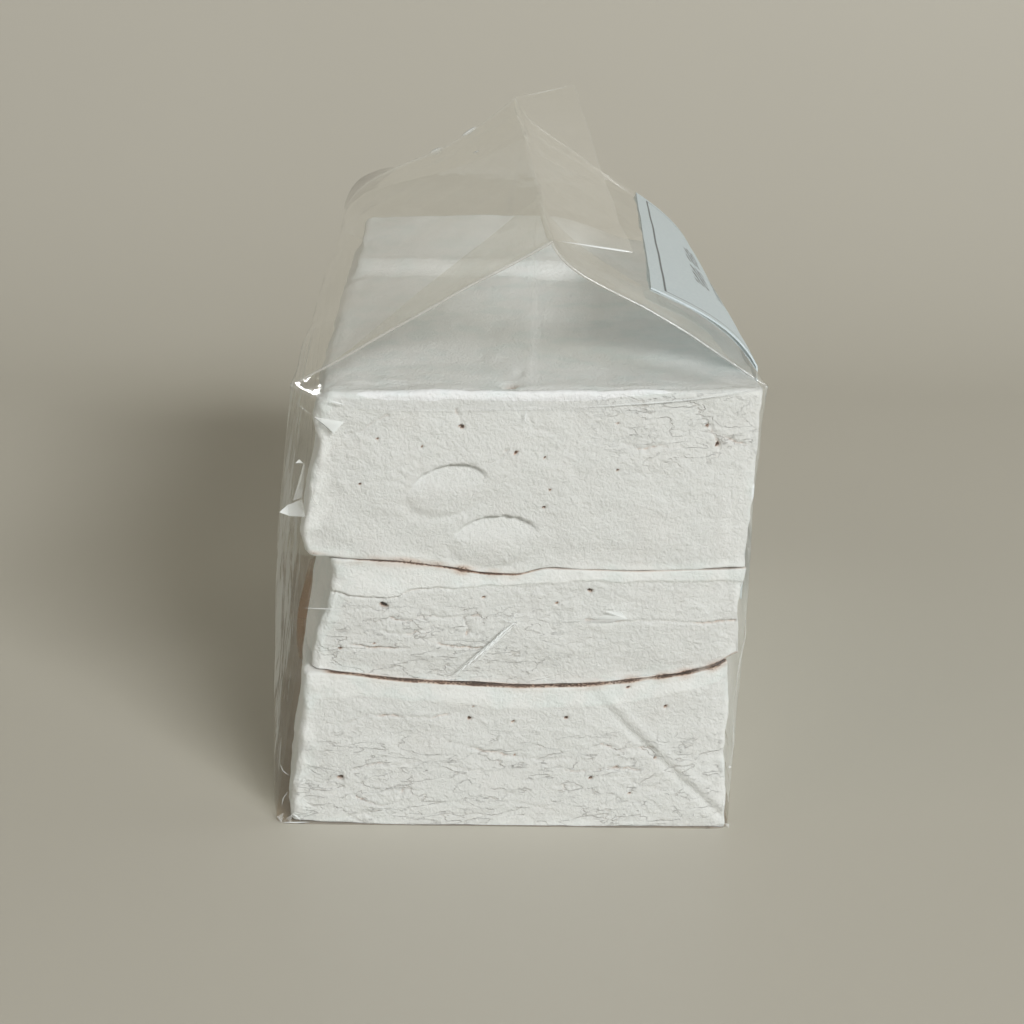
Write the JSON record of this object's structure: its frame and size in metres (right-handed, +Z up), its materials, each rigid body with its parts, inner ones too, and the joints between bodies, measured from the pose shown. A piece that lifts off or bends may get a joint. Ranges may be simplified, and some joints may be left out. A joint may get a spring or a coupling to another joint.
{
  "type": "sealed clear bag of marshmallow slabs",
  "caption": "White marshmallow slabs stacked in a sealed clear block-bottom bag with tucked gable ends, a seal folded over along the ridge and a plain paper label over one shoulder.",
  "frame": {"origin": "middle of the flat base of the bag, on the surface it stands on", "axes": "+X runs across the bag towards the face with the label, +Y along the bag from the near gusset end to the far one, +Z up from the base to the ridge"},
  "size_m": [0.0809, 0.127, 0.106],
  "materials": {
    "film": "gloss",
    "paper": "matte",
    "marshmallow": "matte"
  },
  "bodies": {
    "root": {"bag": "film", "label": "paper"}
  },
  "joints": []
}
